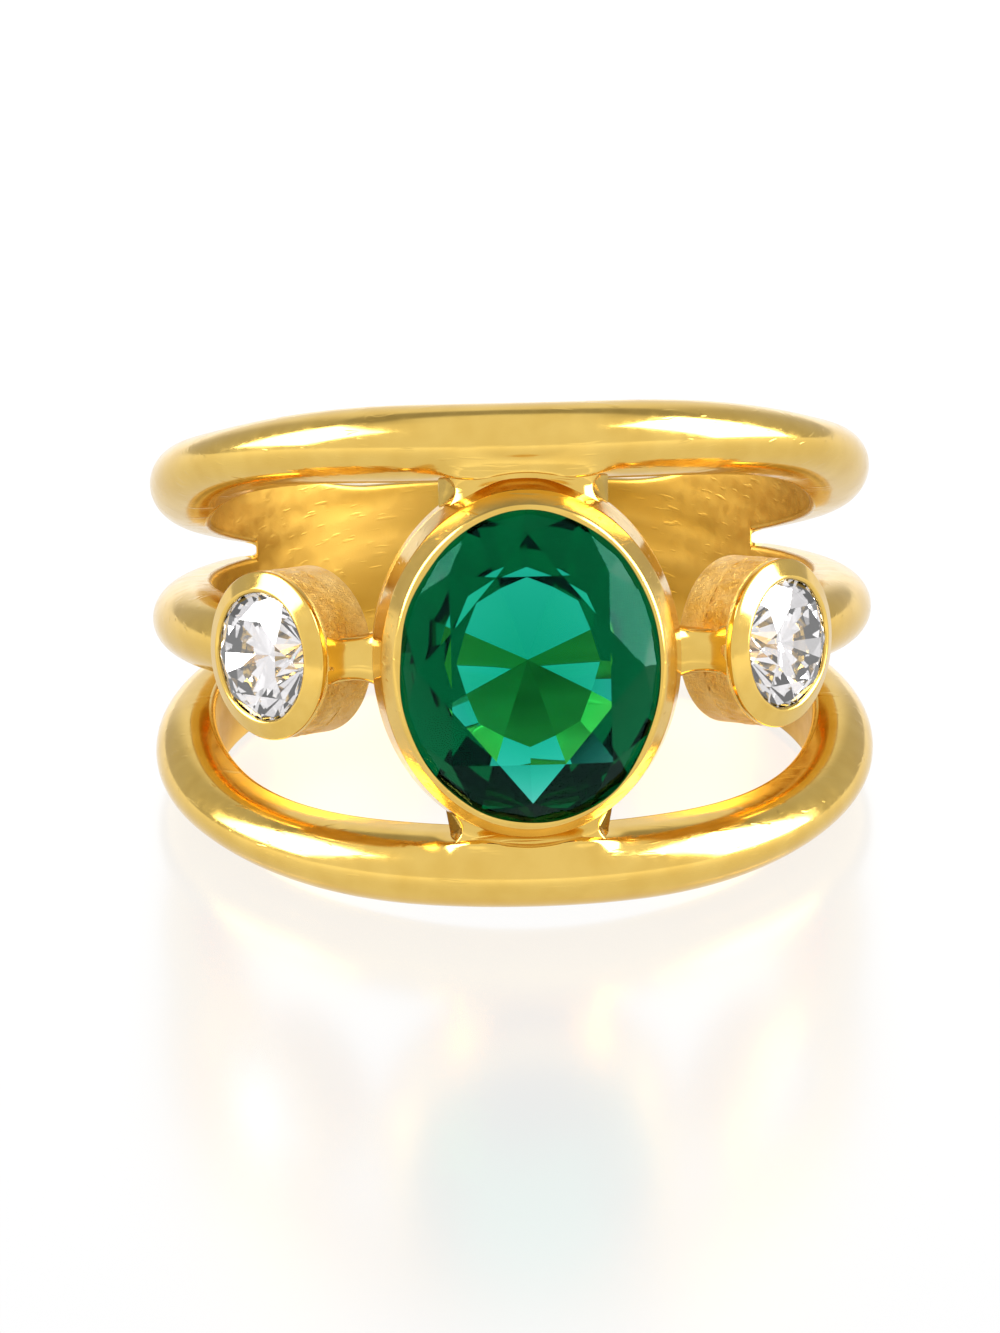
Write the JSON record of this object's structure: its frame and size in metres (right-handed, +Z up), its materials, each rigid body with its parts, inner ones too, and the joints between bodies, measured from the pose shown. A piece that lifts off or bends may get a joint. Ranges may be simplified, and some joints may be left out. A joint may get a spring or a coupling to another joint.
{
  "type": "cocktail ring",
  "caption": "Finger ring of three splayed domed bands on one shank, with an oval bezel-set green stone and a round bezel-set clear stone on each side.",
  "frame": {"origin": "middle of the footprint, on the surface that the ring stands on", "axes": "+Z up, the centre stone faces -Y and leans back, +X is the wearer's view right of the centre stone; the finger hole's axis leans back from +Z by 14.8 degrees"},
  "size_m": [0.0208, 0.0228, 0.0144],
  "materials": {
    "polished_gold": "polished yellow gold plate",
    "cast_gold": "polished rim on a fine-grained cast wall",
    "inner_gold": "satin gold plate",
    "green_stone": "faceted and polished",
    "clear_stone": "faceted and polished"
  },
  "bodies": {
    "root": {"back_shank": "polished_gold", "centre_base_ring": "inner_gold", "centre_bearing": "inner_gold", "centre_bezel_collar": "polished_gold", "centre_stone": "green_stone", "left_base_ring": "cast_gold", "left_bearing": "inner_gold", "left_bezel_collar": "cast_gold", "left_bridge_bar": "polished_gold", "left_stone": "clear_stone", "lower_band": "polished_gold", "lower_solder_seam": "polished_gold", "middle_band_left": "polished_gold", "middle_band_right": "polished_gold", "right_base_ring": "cast_gold", "right_bearing": "inner_gold", "right_bezel_collar": "cast_gold", "right_bridge_bar": "polished_gold", "right_stone": "clear_stone", "upper_band": "polished_gold", "upper_solder_seam": "polished_gold"}
  },
  "joints": []
}
